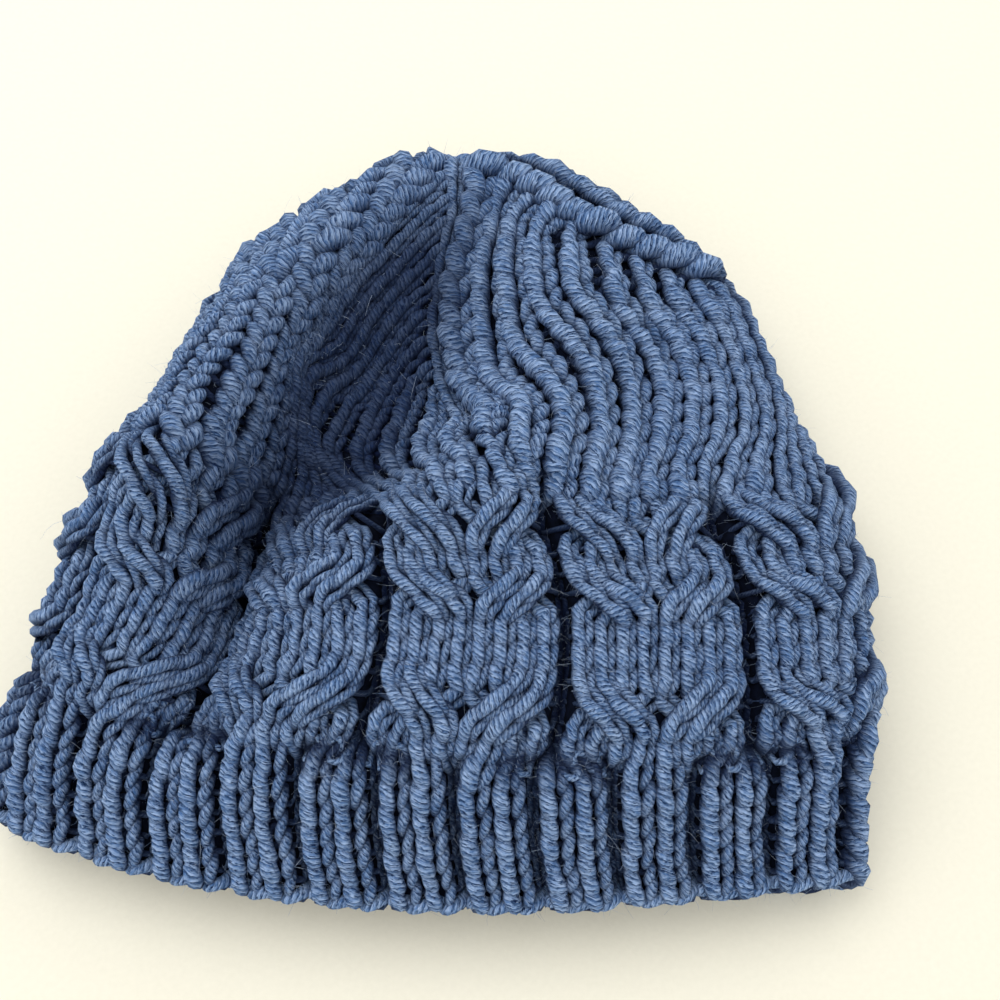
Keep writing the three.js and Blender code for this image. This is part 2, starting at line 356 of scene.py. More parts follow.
# %% [markdown]
# ## The pattern
#
# The brim is "knit 2, purl 2": ribs that stand proud, with gutters between them that close
# up. Above it come eight cables, each 8 knit stitches between 2-stitch purl gutters. Then
# one stitch in four is taken in, and the crown is plain, in six wedges of ten stitches.
# From row 30 on, each wedge loses its last stitch nearly every row until one is left. The
# lines where that happens run up to the tip, and one of them stands proud like a rope. One
# wedge loses its first stitch instead.
#
# We place everything by counting stitches from 0 to 80 round the hat, so a crown stitch is
# wider than 1. The wedges aren't equally wide, because the folds stretch some of them.

# %% Stitch counts and where the pattern changes
RIB_TOP, DECREASE_START = 7, 30            # rows
RIB_PERIOD, CABLE_PERIOD = 4, 10           # stitches in one rib or cable with its gutter
MOTIF_CENTRE = 48                          # the stitch line in the middle of one cable
CABLE_EDGE = MOTIF_CENTRE + 5              # a gutter's middle, where cables meet
WEDGES_LOW = [40, 57, 68, 76, 84, 103, 120]              # where wedges meet, at the cables
WEDGES = [42, 51.8, 66.4, 80, 88.8, 113, 122]            # and higher up,
WEDGE_ROWS = [8, 11, 6, 6, 11, 11, 8]                    # this many rows above the cables
ROPE_WEDGE, MIRRORED_WEDGE = 0, 4          # which shows a rope, and which loses its first
WEDGE_STITCHES = 10
DECREASES = [9, 8, 7, 6, 6, 5, 4, 3, 2, 1]               # stitches a wedge, row by row
CROSSINGS = [(8.0, 10.6), (12.9, 15.4), (15.9, 18.8)]    # rows where the strands cross


def wedge_stitches(row):
    """How many stitches each wedge has in a row."""
    row = int(row)
    if row < DECREASE_START:
        return WEDGE_STITCHES
    return DECREASES[min(row - DECREASE_START, len(DECREASES) - 1)]


print("stitches a wedge, row by row:", [wedge_stitches(r) for r in range(29, KNIT_TOP)])

# %% [markdown]
# ### Ribs and cables pull in
#
# Knit and purl stitches curl in opposite ways, so where they meet the cloth folds: the
# knit columns come forward and spread, and the purl columns sink and close up. Two
# functions say this for any place on the cloth. `spread_stitch` moves it sideways, and
# `relief` moves it out or in. Both fade from ribs to cables to plain crown over a few rows.

# %% Sideways and outward
RIB_KNIT_HALF = 1.70                       # a knit pair spreads this far, of 2, from its middle
CABLE_KNIT_HALF = 4.62                     # and a cable this far, of 5
RIB_FADE, BAND_FADE = (6.2, 1.6), (18.2, 2.6)            # start and length, in rows
RIB_PROUD, RIB_GUTTER = 1.4, 5.6           # millimetres out, and back in at a gutter
CABLE_PROUD, CABLE_GUTTER = 1.6, 5.4       # the same for a cable
CABLE_BOW = 1.2                            # a cable's edge lies this much lower, and the
POCKET = 0.9                               # middle above each lower crossing by this


def smooth(t):
    """An S-shaped ramp from 0 to 1."""
    t = np.clip(t, 0, 1)
    return t * t * (3 - 2 * t)


def through(row, fade):
    """How far a row is through a fade, from 0 to 1."""
    return smooth((row - fade[0]) / fade[1])


def rib_share(row):
    return 1 - through(row, RIB_FADE)


def band_share(row):
    return through(row, RIB_FADE) * (1 - through(row, BAND_FADE))


def from_middle(stitch, period):
    """How far a place is from the middle of its rib or cable, in stitches."""
    return (stitch - MOTIF_CENTRE + period / 2) % period - period / 2


def widen(x, period, knit_half, gutter):
    """Lets the knit stitches spread and squeezes the gutter, which is `gutter` each side."""
    knit = period / 2 - gutter
    inside = np.abs(x) < knit
    return np.where(inside, x * knit_half / knit,
                    np.sign(x) * (knit_half + (np.abs(x) - knit)
                                  * (period / 2 - knit_half) / gutter))


def spread_stitch(stitch, row):
    """Where a stitch really lies round the hat, once ribs and cables have pulled in."""
    rib_x = from_middle(stitch, RIB_PERIOD)
    rib_shift = widen(rib_x, RIB_PERIOD, RIB_KNIT_HALF, 1.0) - rib_x
    cable_x = from_middle(stitch, CABLE_PERIOD)
    cable_shift = widen(cable_x, CABLE_PERIOD, CABLE_KNIT_HALF, 1.0) - cable_x
    return stitch + rib_share(row) * rib_shift + band_share(row) * cable_shift


def relief(stitch, row):
    """How far the cloth stands out (or sinks) at a place, in millimetres."""
    rib_x = np.abs(from_middle(stitch, RIB_PERIOD))
    rib = RIB_PROUD - RIB_GUTTER * smooth((rib_x - 0.6) / 1.15)
    rib = rib * smooth((row + 1.2) / 1.6)
    cable_x = np.abs(from_middle(stitch, CABLE_PERIOD))
    cable = (CABLE_PROUD - CABLE_BOW * (cable_x / 4) ** 2
             - CABLE_GUTTER * smooth((cable_x - 3.7) / 0.9))
    pocket = sum(hump(row, top + 0.4, 0.9) for _, top in CROSSINGS[:2])
    cable = cable - POCKET * pocket * hump(cable_x, 0, 1.4)
    return rib_share(row) * rib + band_share(row) * cable


print("relief across two ribs, in mm:", relief(np.arange(48, 56.5), 3.0).round(1))

# %% [markdown]
# ### How the cables cross
#
# In a crossing, two strands of two stitches change places: the pair next to the middle
# travels outward in front, and the outer pair slips behind it to the middle. Three
# crossings, one above the other, make a stack of Vs. We number the eight stitches of a
# cable 0 to 7 at its foot and follow each one up.

# %% Follow one cable stitch up through the crossings
SWAP = [2, 3, 0, 1, 6, 7, 4, 5]            # a stitch's new slot after one crossing
IN_FRONT = {2, 3, 4, 5}                    # slots that travel in front
CROSS_DEPTH, BACK_DEPTH = 2.1, -1.0        # millimetres, for the front and back strands
CLOSING = 0.15                             # crossing strands draw this far to the middle
PARTING = 0.22                             # and their stitches part, in slots


def follow(strand, row):
    """Slot and lift of a cable stitch at every row in an array."""
    slot = np.full(row.shape, float(strand))
    lift = np.zeros(row.shape)
    now = strand
    for start, end in CROSSINGS:
        t = np.clip((row - start) / (end - start), 0, 1)
        after = SWAP[now]
        here = (row > start) & (row < end)
        if now in IN_FRONT:
            step, lifted = smooth(t), CROSS_DEPTH * np.sin(np.pi * t) ** 0.8
        else:
            step, lifted = smooth((t - 0.2) / 0.6), BACK_DEPTH * np.sin(np.pi * t) ** 2
        pull = np.sin(np.pi * t)
        closing = CLOSING * pull * (1 if now < 4 else -1) + PARTING * pull * (2 * (now % 2) - 1)
        slot = np.where(row > start, now + (after - now) * step + closing, slot)
        lift = np.where(here, lifted, lift)
        now = after
    return slot, lift


def slots_at(row):
    """Which strand sits in each of the eight slots in one row."""
    order = list(range(8))
    for start, end in CROSSINGS:
        if row + 0.5 > (start + end) / 2:
            moved = [0] * 8
            for slot, strand in enumerate(order):
                moved[SWAP[slot]] = strand
            order = moved
    return order


print("strands by slot in rows 7, 11, 15, 18:", [slots_at(r) for r in (7, 11, 15, 18)])

# %% [markdown]
# ### Knit or purl
#
# A knit stitch shows its two legs, a V. A purl stitch shows its head and foot, a bump,
# because its legs lie behind. So the only difference is the sign of one number: how far
# each part of the loop stands in front of the cloth.

# %% Which stitches are purl
def is_purl(stitch, row):
    """True where the stitch numbered from the motif line is a purl."""
    if row < RIB_TOP:
        return abs(from_middle(stitch + 0.5, RIB_PERIOD)) > 1
    if row < BAND_TOP:
        x = abs(from_middle(stitch + 0.5, CABLE_PERIOD))
        return x > 4 or (row < RIB_TOP + 1 and x > 2)
    return False


for row in (3, 12):
    print("row", row, "from a cable's edge:",
          "".join("p" if is_purl(CABLE_EDGE + k, row) else "k" for k in range(10)))

# %% [markdown]
# ## The path of the yarn
#
# First we list the stitches of a row in the order in which they are knitted. Each gets a
# small record: what kind it is, where its middle lies and how wide it is. A cable stitch
# also knows its strand, and a crown stitch its wedge and its number there.

# %% The stitches of one row
def wedge_edges(row):
    """Where the wedges meet at each of these rows."""
    part = smooth((row - BAND_TOP) / np.array(WEDGE_ROWS)[:, None])
    return np.array(WEDGES_LOW)[:, None] * (1 - part) + np.array(WEDGES)[:, None] * part


def stitches_of(row):
    """All stitches of one row, in order round the hat, as a list of small records."""
    found = []
    if row < BAND_TOP:
        order = slots_at(row)
        for stitch in range(CABLE_EDGE - CABLE_PERIOD, CABLE_EDGE - CABLE_PERIOD + STITCHES):
            k = (stitch - CABLE_EDGE) % CABLE_PERIOD
            cable = row >= RIB_TOP and 1 <= k < 9
            found.append(dict(kind="cable" if cable else "plain", place=stitch + 0.5,
                              width=1.0, edge=stitch - k,
                              strand=order[k - 1] if cable else -1))
        return found
    count = wedge_stitches(row)
    edges = wedge_edges(np.array([row + 0.5]))[:, 0]
    for wedge in range(len(WEDGES) - 1):
        width = (edges[wedge + 1] - edges[wedge]) / count
        for k in range(count):
            found.append(dict(kind="crown", place=edges[wedge] + width * (k + 0.5),
                              width=width, wedge=wedge, k=k, count=count,
                              last=k == count - 1 and row >= DECREASE_START))
    return found


print("rows 3, 20 and 36 have", [len(stitches_of(r)) for r in (3, 20, 36)], "stitches")

# %% [markdown]
# Each stitch leans along a middle line that runs up the cloth. In the ribs it is straight,
# in a cable it follows its strand, and on the crown it keeps its share of its wedge, which
# has fewer and fewer stitches. The rope's stitches lie on top of their neighbours.

# %% The middle line of a stitch
ROPE_LIFT, CHAIN_LIFT = 1.2, 0.6           # the rope and the chain stand out, in millimetres


def middle_line(record, row, y):
    """Where a stitch's own middle line runs, and how far it is lifted, at heights y."""
    if record["kind"] == "plain":
        return np.full(y.shape, record["place"]), np.zeros(y.shape)
    if record["kind"] == "cable":
        slot, lift = follow(record["strand"], y)
        return record["edge"] + 1.5 + slot, lift
    left = np.interp(y, [DECREASE_START - 0.5, KNIT_TOP - 0.5], [WEDGE_STITCHES, 1])
    lift = np.zeros(y.shape)
    if record["wedge"] == MIRRORED_WEDGE:
        line = 1 - (record["count"] - record["k"] - 0.5) / left
    elif record["last"]:
        line = 1 - 0.5 / left
        lift += ROPE_LIFT if record["wedge"] == ROPE_WEDGE else 0.0
    else:
        line = np.minimum((record["k"] + 0.5) / left, 1 - 0.6 / left)
    edges = wedge_edges(y)[record["wedge"]:record["wedge"] + 2]
    return edges[0] + (edges[1] - edges[0]) * line, lift


print("a cable stitch moves from", middle_line(stitches_of(8)[2], 8, np.array([8.0, 10.6]))[0])

# %% [markdown]
# One stitch is one turn of a curve: it rises, leans over to the head of the loop, and comes
# down again. We follow it with an angle `t` that is 0 at the head. `LEAN_LEFT` and
# `LEAN_RIGHT` make its two legs lean, so that they form a V, and `LEAN_OPEN` is for Vs that
# stand open, where the cloth is stretched.
#
# Soft yarn is squeezed where loops hook into each other and plumps up between, so its
# thickness swings too. Where stitches are decreased, loops lie on top of each other and
# overlap like tiles: that makes the rope, and a chain beside it that is half as proud.

# %% How each kind of stitch differs
LEAN_LEFT, LEAN_RIGHT, LEAN_OPEN = 0.145, 0.20, 0.31     # in stitches
PLUMP = 0.82                               # mean thickness, in radii
WAVE_BAND, WAVE_CROWN, WAVE_OPEN = 0.27, 0.29, 0.34      # legs are thicker by this
THIN_RIGHT = 0.18                          # the yarn's twist thins the right legs, in radii
UNEVEN = 0.07                              # how much stitches vary in thickness
ROPE_TILT = -1.1                           # rope stitches overlap, in millimetres a row
ROPE_TUCK = 0.9                            # and their right legs sink under, in millimetres
ROPE_PLUMP, ROPE_WAVE, ROPE_SIDE, ROPE_TAPER = 0.12, 0.16, 0.12, 0.22  # its lumps, in radii


def stitch_shape(record, row, t, up):
    """Lean in stitches, thickness in radii and extra lift in millimetres along a stitch."""
    wedge = record.get("wedge", -1)
    stretched = wedge == MIRRORED_WEDGE
    rope = wedge == ROPE_WEDGE and record["last"]
    chain = wedge == ROPE_WEDGE and record["k"] == 0 and row > BAND_TOP + 1
    lean = np.where(t < 0, LEAN_LEFT, LEAN_RIGHT)
    if stretched or chain or rope:
        lean = np.full(len(t), LEAN_OPEN)
    wave = WAVE_BAND if wedge < 0 else WAVE_OPEN if stretched else WAVE_CROWN
    thin = 0 if stretched else THIN_RIGHT
    plump = (PLUMP - wave * np.cos(2 * t) - thin * np.sin(t)) * rng.normal(1, UNEVEN)
    lift = np.zeros(len(t))
    if rope:
        plump = (plump + ROPE_PLUMP - ROPE_WAVE * np.cos(2 * t) - ROPE_SIDE * np.sin(t)
                 - ROPE_TAPER * up)
        lift = ROPE_TILT * up - ROPE_TUCK * smooth(t / 1.5)
    elif chain:
        plump, lift = plump + ROPE_PLUMP, CHAIN_LIFT + ROPE_TILT / 2 * up
    return lean, plump, lift, stretched

# %% [markdown]
# The depth swings twice in a stitch, so that the legs are in front where the head and foot
# are behind. In a purl it swings the other way. Where a knit stitch meets a purl, beside it
# or above it, the yarn has to pass through the cloth, and this function lets it change
# sides gradually.

# %% Which side of the cloth the yarn is on
HANDOVER = 0.9                             # how long a change of side takes, in radians


def side_along(before, low, high, after, t):
    """From -1 (purl) to 1 (knit): stitches before, here and above (low, high), and after."""
    side = low + (high - low) * smooth(0.5 + 0.9 * np.cos(t))
    side = side + (before - low) / 2 * (1 - smooth((t + np.pi) / HANDOVER))
    return side + (after - low) / 2 * (1 - smooth((np.pi - t) / HANDOVER))


print("from a knit to a purl:", side_along(1, 1, 1, -1, np.array([0, 2.2, 2.6, 3.1])).round(2))

# %% [markdown]
# With all of this, one row becomes one long path, still flat: so many stitches round, so
# many rows up, so many yarn radii in front. `RISE` is half a loop's height in rows; near 1
# it hooks each row into the next. Stitches on the side that faces up get more points.
#
# Even a look at one row, as at the end of this cell, draws random numbers. Leave it in:
# without it, every later stitch would come out slightly different.

# %% One round of stitches as a path
RISE = 0.98                                # half a loop's height, in rows
LIFT_LEFT = 0.16                           # the yarn's twist lifts the left legs
YARN_FIT = 0.27                            # yarn radius for each millimetre of stitch width
OPEN_FIT = 1.08                            # and thicker by this where Vs are open
THICKEST, STRETCHED = 1.65, 2.2            # the greatest radius, and that of open Vs, in mm
FINE, COARSE = 16, 8                       # path points a stitch, on top and underneath
SHOWN = (0.12, 0.80)                       # the share of the round that faces up
AHEAD = 0.05                               # a small step up, in rows, to find the heading
COLUMNS = "middle ahead offset y depth lift phase width plump most fit".split()


def round_path(row):
    """The yarn of one row, stitch after stitch, as columns of numbers by name."""
    parts = {name: [] for name in COLUMNS}
    records = stitches_of(row)
    sides = [[-1.0 if is_purl(r["place"] - 0.5, at) else 1.0 for at in (row, row + 1)]
             for r in records]
    for n, record in enumerate(records):
        shown = SHOWN[0] < (record["place"] / STITCHES) % 1 < SHOWN[1]
        points = FINE if shown else COARSE
        t = -np.pi + 2 * np.pi * np.arange(points) / points
        y = row + 0.5 + RISE * np.cos(t)
        middle, lift = middle_line(record, row, y)
        ahead = middle_line(record, row, y + AHEAD)[0]
        lean, plump, proud, stretched = stitch_shape(record, row, t, y - row - 0.5)
        side = side_along(sides[n - 1][0], *sides[n], sides[(n + 1) % len(records)][0], t)
        favour = 0 if stretched else LIFT_LEFT
        values = dict(middle=middle, ahead=ahead, lift=lift + proud, y=y, plump=plump,
                      offset=record["width"] * (lean * np.sin(2 * t) + t / (2 * np.pi)),
                      depth=-np.cos(2 * t) * side - favour * np.sin(t),
                      phase=n + (t + np.pi) / (2 * np.pi),
                      width=np.full(points, record["width"]),
                      most=np.full(points, STRETCHED if stretched else THICKEST),
                      fit=np.full(points, YARN_FIT * (OPEN_FIT if stretched else 1.0)))
        for name in COLUMNS:
            parts[name].append(values[name])
    return {name: np.concatenate(columns) for name, columns in parts.items()}


print("row 3 has", len(round_path(3)["y"]), "path points")

# %% [markdown]
# ### Shade in folds and gaps
#
# Little light gets down between two yarns or into a deep fold, and the wool there looks
# almost black. The lights of a scene find this by themselves, but only so far: real gaps
# are closer and fuzzier than our smooth tubes. So we help, and store a darkness from 0 to 1
# on every corner of the yarn, which its material reads. `DEEP_FOLDS` has the same columns
# as the table of folds, except that darkness stands where the height was.

# %% How dark folds and gaps are
DEEP_FOLDS = [
    ["dent", -31, -1, 0.7, -24.5, 29, 1.1, -5, 61, 0.75, 11],
    ["dent_floor", -20, 8, 0.7, -16, 22, 0.9, -8, 42, 0.6, 12],
    ["crease", -41, 2, 0.5, -42, -18, 0.6, -46, -36, 0.4, 7],
]
FOLD_SHADE, GAP_SHADE = 0.84, 0.92         # how much folds and gaps darken the yarn at most
GAP_TOP, GAP_DEPTH = 2.0, 1.5              # gaps start this high and are dark this far down
SHADE_FROM = 6                             # folds darken from 6 mm up, and fully from twice it
GUTTER_FROM, GUTTER_DEPTH = -1.2, 2.4      # gutters sunk so far get painted shade, fully over this much more


def shade_at(points):
    """How much painted shade a place gets for lying deep in a fold, from 0 to 1."""
    plan = points / MM - CENTRE
    dark = fold_lift(plan[:, 0], plan[:, 1], DEEP_FOLDS)
    return np.clip(dark, 0, 1) * np.clip((plan[:, 2] - SHADE_FROM) / SHADE_FROM, 0, 1)


def gap_shade(height):
    """How dark a gap is at this height, in yarn radii, from 0 to 1."""
    return smooth((GAP_TOP - height) / GAP_DEPTH)


print("gap shade from crest to depth:", gap_shade(np.array([2.0, 1.5, 1.0, 0.5])).round(2))

# %% [markdown]
# ### Bend the path onto the cloth
#
# Every point of the path is looked up on the grid. One thing goes wrong if we stop there: on
# a strongly curved place, or where columns run aslant, the look-up would shear each V out of
# shape. So around the middle of a stitch we lay its legs out straight, on a flat patch that
# points along its middle line, and only join them to the true surface near its ends.

# %% Lay a round on the cloth
LEGS_STRAIGHT = 0.60                       # share of a stitch that lies on the flat patch


def lay_round(path, x, y):
    """Points on the cloth, outward normals, and how wide stitches are, in metres."""
    middle = path["middle"]
    middle_share, share = spread_stitch(middle, y) / STITCHES, spread_stitch(x, y) / STITCHES
    normal = unit(look_up(grid_normals, y, share))
    wide = look_up(grid_widths, y, middle_share)
    here = look_up(grid_points, y, middle_share)
    behind_share = spread_stitch(2 * middle - path["ahead"], y - AHEAD) / STITCHES
    heading = unit(here - look_up(grid_points, y - AHEAD, behind_share))
    across = unit(np.cross(heading, normal))
    straight = here + across * ((share - middle_share) * STITCHES * wide)[:, None]
    bent = look_up(grid_points, y, share)
    turn = np.abs((path["phase"] % 1) * 2 - 1)
    join = smooth((turn - LEGS_STRAIGHT) / (1 - LEGS_STRAIGHT))[:, None]
    return straight * (1 - join) + bent * join, normal, wide

# %% [markdown]
# The yarn is as thick as its stitch is wide, within limits, because worsted yarn is soft:
# it plumps up where it has room. Real stitches are never quite even, so each one also gets
# a small random nudge. `SWING` turns the swing of the path into depth, in yarn radii.

# %% Put a round onto the hat
SWING = 0.95                               # how far legs stand in front, in yarn radii
NUDGE = 0.20                               # millimetres, one typical random nudge
THINNEST = 0.95                            # millimetres, the least radius
TIGHT, LOOSE = 0.7, 1.3                    # limits on how ribs and cables squeeze the yarn


def place_round(row):
    """One round of yarn on the hat, as columns of numbers by name."""
    path = round_path(row)
    middle, phase = path["middle"], path["phase"]
    x, y = middle + path["offset"], np.minimum(path["y"], KNIT_TOP)
    points, normal, wide = lay_round(path, x, y)
    room = (spread_stitch(middle + 0.3, y) - spread_stitch(middle - 0.3, y)) / 0.6
    radius = np.clip(path["fit"] * wide / MM * path["width"] * np.clip(room, TIGHT, LOOSE),
                     THINNEST, path["most"])
    for _ in range(3):                     # the thickness can't change in a sudden step
        radius = (np.roll(radius, 1) + radius + np.roll(radius, -1)) / 3
    radius = radius * path["plump"]
    count = int(np.ceil(phase.max()))
    nudges = rng.normal(0, NUDGE, (3, count + 1))
    nudges[:, -1] = nudges[:, 0]
    nudge = np.stack([np.interp(phase, np.arange(count + 1), n) for n in nudges], -1)
    sunk = relief(x, y)
    height = path["depth"] * SWING
    out = sunk + path["lift"] + height * radius
    points = points + normal * (out * MM)[:, None] + nudge * MM
    gutter = smooth((GUTTER_FROM - sunk) / GUTTER_DEPTH)
    return dict(points=points, normal=normal, radius=radius * MM, height=height,
                fold=np.maximum(shade_at(points), gutter))


radius = place_round(3)["radius"]
print("yarn radius in row 3:", radius.min().round(5), "to", radius.max().round(5))

# %% [markdown]
# ## Sweep the yarn
#
# A sweep carries a ring of corners along the path. A curve with a bevel depth does that in
# one step, and it is the quick way. But its texture coordinates run from 0 to 1 whatever
# its length, and its thickness and shade are hard to set point by point. So we lay the
# rings ourselves. Eight corners are enough, because the material draws the fine detail.

# %% Rings along a path
SIDES = 8
FLOOR_CLEAR = 0.00002                      # metres, so that nothing touches the floor
CORNERS = 2 * np.pi * np.arange(SIDES) / SIDES + np.pi   # the seam lies at the back


def sweep(points, normal, radius, closed=True):
    """Rings of SIDES points round a path. Returns rings and lengths along the path."""
    if closed:
        along = np.roll(points, -1, 0) - np.roll(points, 1, 0)
    else:
        along = np.gradient(points, axis=0)
    along = unit(along)
    side = unit(np.cross(along, normal))
    up = np.cross(side, along)
    rings = (points[:, None] + radius[:, None, None]
             * (up[:, None] * np.cos(CORNERS)[None, :, None]
                + side[:, None] * np.sin(CORNERS)[None, :, None]))
    rings[..., 2] = np.maximum(rings[..., 2], FLOOR_CLEAR)
    step = np.linalg.norm(np.diff(points, axis=0, append=points[:1]), axis=1)
    return rings, np.concatenate([[0], np.cumsum(step)]) / MM

# %% [markdown]
# The rings become a tube when faces join each one to the next. Each face corner also gets
# texture coordinates: `u` counts millimetres along the yarn and `v` goes once round it, so
# a pattern made from them follows the yarn through every loop.

# %% Faces and texture coordinates
def tube_uvs(count, length):
    """Corner coordinates: u is millimetres along the yarn, v runs once round it."""
    i, k = np.repeat(np.arange(count), SIDES), np.tile(np.arange(SIDES), count)
    u0, u1, v0, v1 = length[i], length[i + 1], k / SIDES, (k + 1) / SIDES
    return np.stack([np.stack([u0, v0], 1), np.stack([u0, v1], 1),
                     np.stack([u1, v1], 1), np.stack([u1, v0], 1)], 1)


def tube_faces(count, offset, closed=True):
    """Four-cornered faces that join neighbouring rings."""
    last = count if closed else count - 1
    i = np.repeat(np.arange(last), SIDES)
    k = np.tile(np.arange(SIDES), last)
    j, m = (i + 1) % count, (k + 1) % SIDES
    return np.stack([i * SIDES + k, i * SIDES + m, j * SIDES + m, j * SIDES + k], 1) + offset


print("a closed tube of 3 rings has", len(tube_faces(3, 0)), "faces")

# %% [markdown]
# Long lists of points go into a mesh with `from_pydata`. The rest is set with
# `foreach_set`, which takes a whole array at once and is far faster than a loop. The painted
# shade is kept as an attribute called `fold`, one number for each point.

# %% Make an object of it
def build_mesh(name, points, faces, uvs=None, shade=None, lid=None):
    """One mesh object from points and faces, with corner coordinates and shade if given."""
    faces = faces.tolist() + ([] if lid is None else lid.tolist())
    mesh = bpy.data.meshes.new(name)
    mesh.from_pydata(points.tolist(), [], faces)
    if shade is not None:
        fold = mesh.attributes.new("fold", "FLOAT", "POINT")
        fold.data.foreach_set("value", shade.astype(np.float32))
    if uvs is not None:
        layer = mesh.uv_layers.new(name="yarn")
        layer.data.foreach_set("uv", uvs.astype(np.float32).ravel())
    mesh.polygons.foreach_set("use_smooth", [True] * len(faces))
    mesh.update()
    piece = bpy.data.objects.new(name, mesh)
    bpy.context.collection.objects.link(piece)
    print(name, "has", sum(len(face) - 2 for face in faces), "triangles")
    return piece

# %% [markdown]
# Now knit. Every round is one closed tube, and a few rounds together make one piece, so
# that no piece grows too heavy to edit. Each round starts at another place in the texture,
# `ROUND_SHIFT` further on, or the plies would line up from row to row.

# %% Knit the hat
ROUND_SHIFT = 3.7                          # millimetres


def knit_rows(name, rows):
    """Knits some rows as one piece."""
    all_points, all_faces, all_uvs, all_shades, offset = [], [], [], [], 0
    for row in rows:
        path = place_round(row)
        rings, length = sweep(path["points"], path["normal"], path["radius"])
        count = len(rings)
        gap = gap_shade(path["height"][:, None] + np.cos(CORNERS)[None, :])
        # painted shade: darker in folds and gutters, and in the gaps between yarns
        shade = 1 - (1 - FOLD_SHADE * path["fold"][:, None]) * (1 - GAP_SHADE * gap)
        all_points.append(rings.reshape(-1, 3))
        all_faces.append(tube_faces(count, offset))
        all_uvs.append(tube_uvs(count, length) + (row * ROUND_SHIFT, 0))
        all_shades.append(shade.ravel())
        offset += count * SIDES
    return build_mesh(name, np.concatenate(all_points), np.concatenate(all_faces),
                      np.concatenate(all_uvs).reshape(-1, 2), np.concatenate(all_shades))


PIECES = [
    ("rib_stitches", range(0, 7), "rib_brim"),
    ("cable_stitches_low", range(7, 13), "cable_band"),
    ("cable_stitches_high", range(13, 19), "cable_band"),
    ("crown_stitches_low", range(19, 24), "crown"),
    ("crown_stitches_middle", range(24, 29), "crown"),
    ("crown_stitches_top", range(29, 40), "crown"),
]
knitted = {name: knit_rows(name, rows) for name, rows, _ in PIECES}

# %% [markdown]
# ## The edge, the tip and the cloth between the loops
#
# The cast-on edge is a cord: one more yarn that wraps over the feet of the first row. It
# goes round once per stitch, so a sine moves it along, up and out, each a little out of
# step with the others.

# %% The cast-on edge
EDGE_ROW = -0.12                           # just under the feet of row 0
EDGE_POINTS = 10                           # path points a stitch
EDGE_WRAP = 0.22, 0.20, 0.9                # along in stitches, up in rows, out in millimetres
EDGE_TURN = 0.6                            # how far up and out lag behind, in radians
EDGE_RADIUS = 1.15                         # millimetres
EDGE_RELIEF = 0.8                          # how much of the ribs' relief the edge follows


def edge_cord(name):
    along, up, out = EDGE_WRAP
    count = STITCHES * EDGE_POINTS
    t = 2 * np.pi * np.arange(count) / EDGE_POINTS
    x = np.arange(count) / EDGE_POINTS + along * np.sin(t)
    y = EDGE_ROW + up * np.sin(t + EDGE_TURN)
    share = spread_stitch(x, y) / STITCHES
    normal = unit(look_up(grid_normals, y, share))
    proud = relief(x, y) * EDGE_RELIEF + out * np.cos(t + EDGE_TURN)
    points = look_up(grid_points, y, share) + normal * (proud * MM)[:, None]
    rings, length = sweep(points, normal, np.full(count, EDGE_RADIUS * MM))
    corners = rings.reshape(-1, 3)
    return build_mesh(name, corners, tube_faces(count, 0),
                      tube_uvs(count, length).reshape(-1, 2), shade_at(corners))


edge = edge_cord("cast_on_edge")

# %% [markdown]
# At the top, the tail of the yarn is drawn through the last stitches, which closes the hat
# with a small knot. A spiral does it: we start near the rim that the last round leaves and
# wind inwards, up and down as we go, so that the turns lie over each other.

# %% The gathered tip
TIP_TURNS, TIP_POINTS = 2.2, 90
TIP_REACH = 0.80, 0.74                     # where it starts, and how far in it winds
TIP_RISE = 0.6, 0.9, 0.8                   # millimetres: at first, up and down, and by the end
TIP_BEAT = 31                              # radians of up and down along the whole spiral
TIP_RADIUS, TIP_END = 1.2, 0.05            # millimetres; the ends taper to nothing


def gathered_tip(name):
    """A short spiral of yarn that fills the hole inside the last round."""
    rim = grid_points[int((KNIT_TOP - 0.2 - FIRST_GRID_ROW) * ROW_STEPS)]
    middle = rim.mean(0)
    around = np.arange(16) / 16
    outward = unit(look_up(grid_normals, np.full(16, KNIT_TOP - 1.0), around).mean(0))
    t = np.linspace(0, 1, TIP_POINTS)
    share = (t * TIP_TURNS) % 1
    reach = TIP_REACH[0] - TIP_REACH[1] * t
    on_rim = np.stack([np.interp(share, np.arange(ROUND_STEPS) / ROUND_STEPS, rim[:, k])
                       for k in range(3)], -1)
    points = middle + (on_rim - middle) * reach[:, None]
    first, beat, last = TIP_RISE
    points = points + outward * (first + beat * np.sin(t * TIP_BEAT) + last * t)[:, None] * MM
    normal = np.tile(outward, (TIP_POINTS, 1))
    radius = np.full(TIP_POINTS, TIP_RADIUS * MM)
    radius[0] = radius[-1] = TIP_END * MM
    rings, length = sweep(points, normal, radius, False)
    corners = rings.reshape(-1, 3)
    return build_mesh(name, corners, tube_faces(TIP_POINTS, 0, False),
                      tube_uvs(TIP_POINTS - 1, length).reshape(-1, 2), shade_at(corners))


tip = gathered_tip("gathered_tip")

# %% [markdown]
# Between real loops you never see into the hat, because other loops and loose wool close
# every gap. Ours would let light through. So behind all the loops we lay a thin dark cloth,
# a little inside the middle of the yarn. Its near-black colour is painted shade. It follows
# the same relief, and on the crown it closes over the tip.

# %% The cloth between the loops
CLOTH_IN = 0.45                            # millimetres behind the middle of the yarn
CLOTH_ROUND = 480                          # points round the hat
CLOTH_ROW_STEPS = 2                        # and for each row


